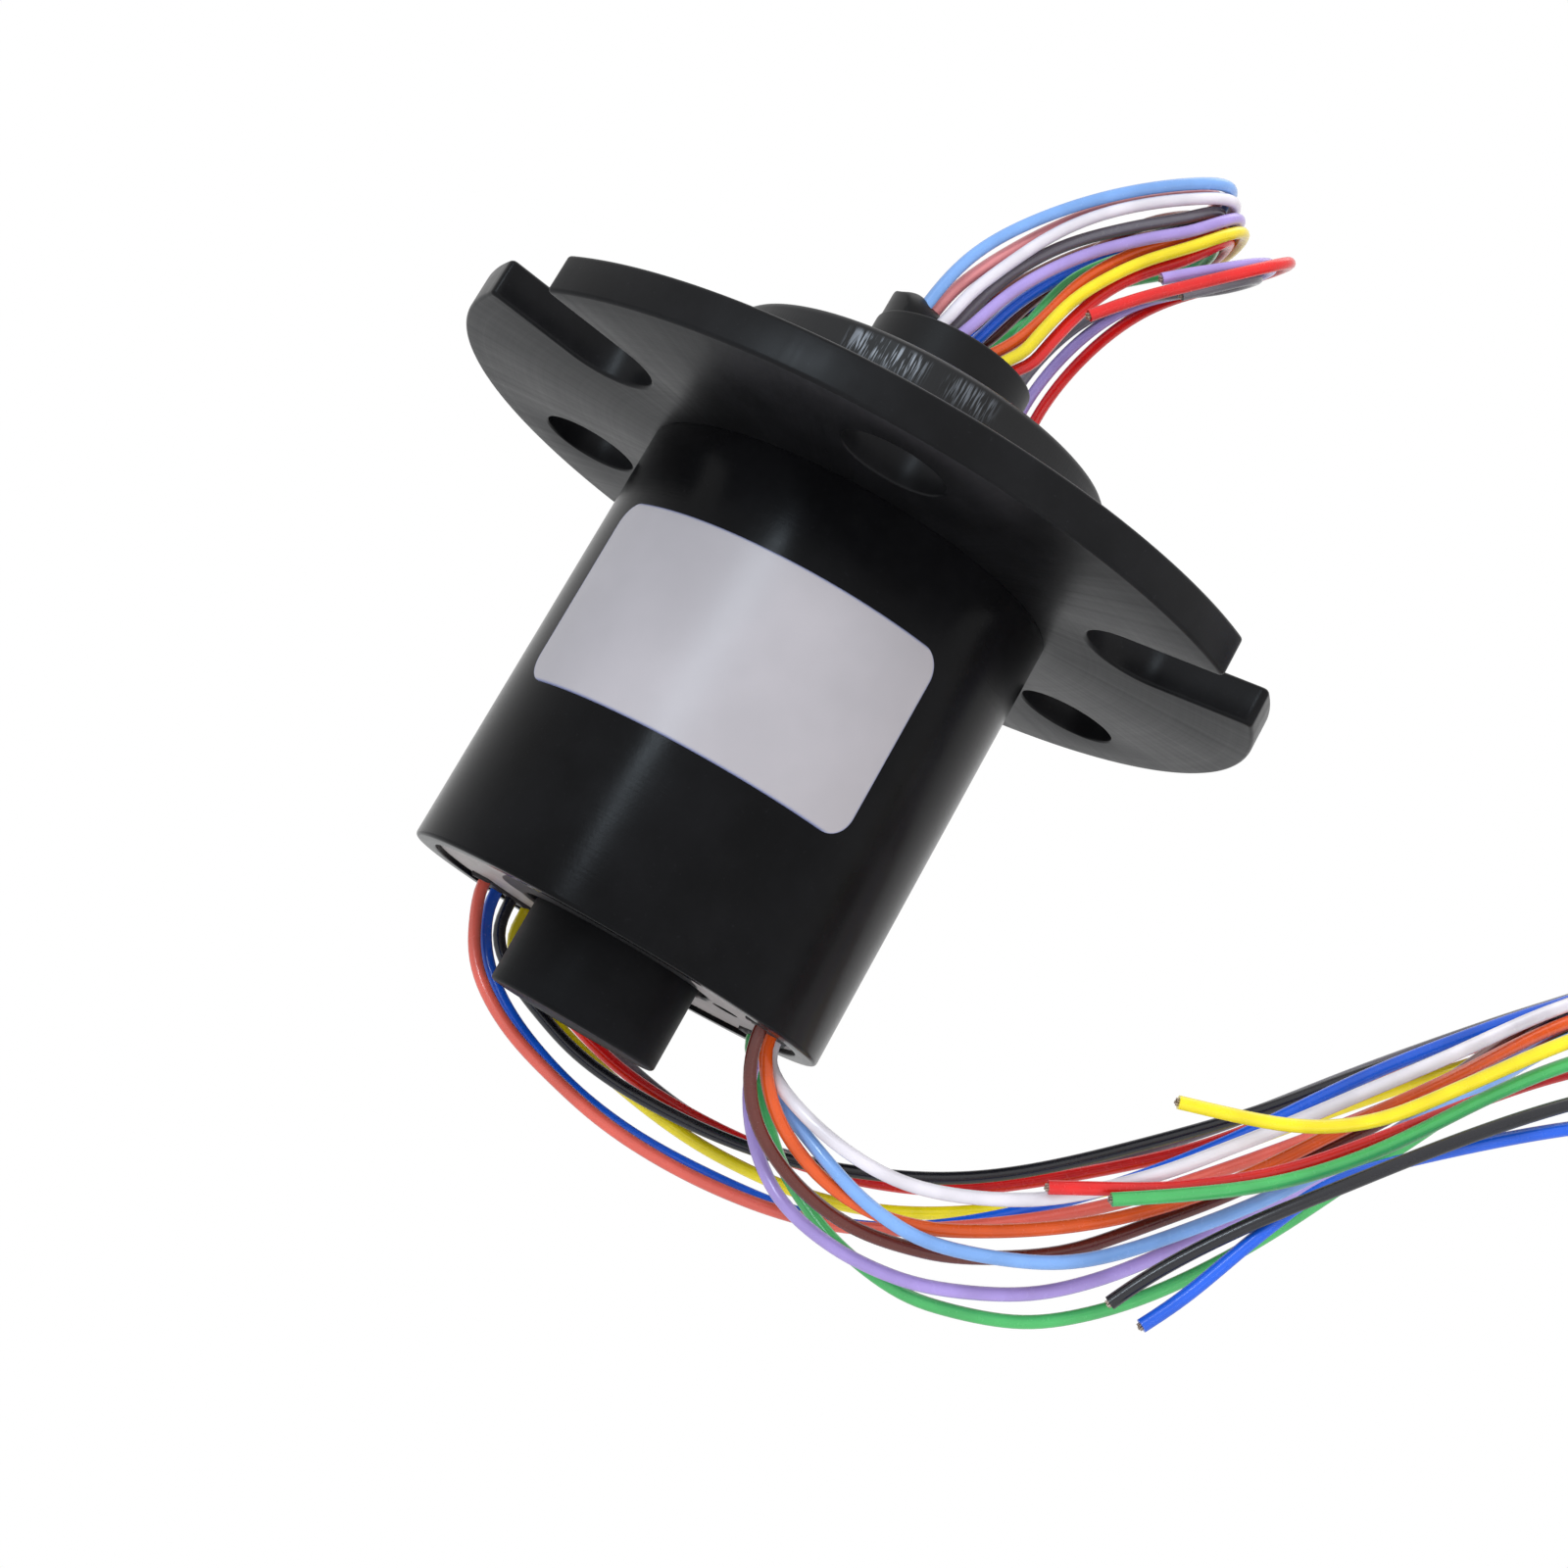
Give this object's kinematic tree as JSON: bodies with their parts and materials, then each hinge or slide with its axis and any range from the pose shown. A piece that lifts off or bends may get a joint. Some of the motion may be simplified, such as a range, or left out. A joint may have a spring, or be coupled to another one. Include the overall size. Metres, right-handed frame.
{
  "type": "slip ring",
  "caption": "Flanged capsule slip ring: a hollow rotor with contact rings turns on ball bearings in a round flanged housing, with coloured leads at both ends.",
  "frame": {"origin": "centre of the mounting flange on its mounting face, on the axis of rotation", "axes": "+Z along the axis of rotation, from the housing towards the rotor stub; -Y towards the middle of one round mounting hole"},
  "size_m": [0.0759, 0.0613, 0.0581],
  "materials": {
    "black_anodised": "black anodised, semi-gloss",
    "black_anodised_flange": "black anodised, turned",
    "pale_plate": "matt pale grey",
    "seal": "dark sealing compound",
    "label": "bare satin film",
    "block": "glass-filled board",
    "gold_wire": "gold alloy wire",
    "bearing_steel": "ground steel",
    "lead_black": "smooth wire insulation",
    "lead_brown": "smooth wire insulation",
    "lead_red": "smooth wire insulation",
    "lead_orange": "smooth wire insulation",
    "lead_yellow": "smooth wire insulation",
    "lead_green": "smooth wire insulation",
    "lead_blue": "smooth wire insulation",
    "lead_violet": "smooth wire insulation",
    "lead_grey": "smooth wire insulation",
    "lead_white": "smooth wire insulation",
    "lead_pink": "smooth wire insulation",
    "lead_light_blue": "smooth wire insulation",
    "hank_mix": "mixed lead colours",
    "tie": "black nylon tie",
    "rotor_black": "black, satin",
    "gold_ring": "gold plated",
    "barrier": "natural moulded plastic",
    "potting": "black poured resin",
    "ball_set": "brass cage with steel balls"
  },
  "bodies": {
    "stator": {"housing_shell": "black_anodised", "mounting_flange": "black_anodised_flange", "end_plate": "pale_plate", "lead_seal_left": "seal", "lead_seal_right": "seal", "label_skin": "label", "brush_block_left": "block", "brush_block_right": "block", "brush_wires_left": "gold_wire", "brush_wires_right": "gold_wire", "upper_outer_race": "bearing_steel", "lower_outer_race": "bearing_steel", "stator_lead_black": "lead_black", "stator_lead_brown": "lead_brown", "stator_lead_red": "lead_red", "stator_lead_orange": "lead_orange", "stator_lead_yellow": "lead_yellow", "stator_lead_green": "lead_green", "stator_lead_blue": "lead_blue", "stator_lead_violet": "lead_violet", "stator_lead_grey": "lead_grey", "stator_lead_white": "lead_white", "stator_lead_pink": "lead_pink", "stator_lead_light_blue": "lead_light_blue", "stator_hank": "hank_mix", "stator_tie": "tie"},
    "rotor": {"rotor_shaft": "rotor_black", "shaft_cap": "rotor_black", "contact_rings": "gold_ring", "ring_barriers": "barrier", "stack_clip": "bearing_steel", "rotor_potting": "potting", "upper_inner_race": "bearing_steel", "lower_inner_race": "bearing_steel", "upper_ball_set": "ball_set", "lower_ball_set": "ball_set", "rotor_lead_black": "lead_black", "rotor_lead_brown": "lead_brown", "rotor_lead_red": "lead_red", "rotor_lead_orange": "lead_orange", "rotor_lead_yellow": "lead_yellow", "rotor_lead_green": "lead_green", "rotor_lead_blue": "lead_blue", "rotor_lead_violet": "lead_violet", "rotor_lead_grey": "lead_grey", "rotor_lead_white": "lead_white", "rotor_lead_pink": "lead_pink", "rotor_lead_light_blue": "lead_light_blue", "rotor_hank": "hank_mix", "rotor_tie": "tie"}
  },
  "joints": [
    {"name": "rotor_spin", "type": "hinge", "parent": "stator", "child": "rotor", "pos_m": [0, 0, 0], "axis": [0, 0, 1], "continuous": true}
  ]
}
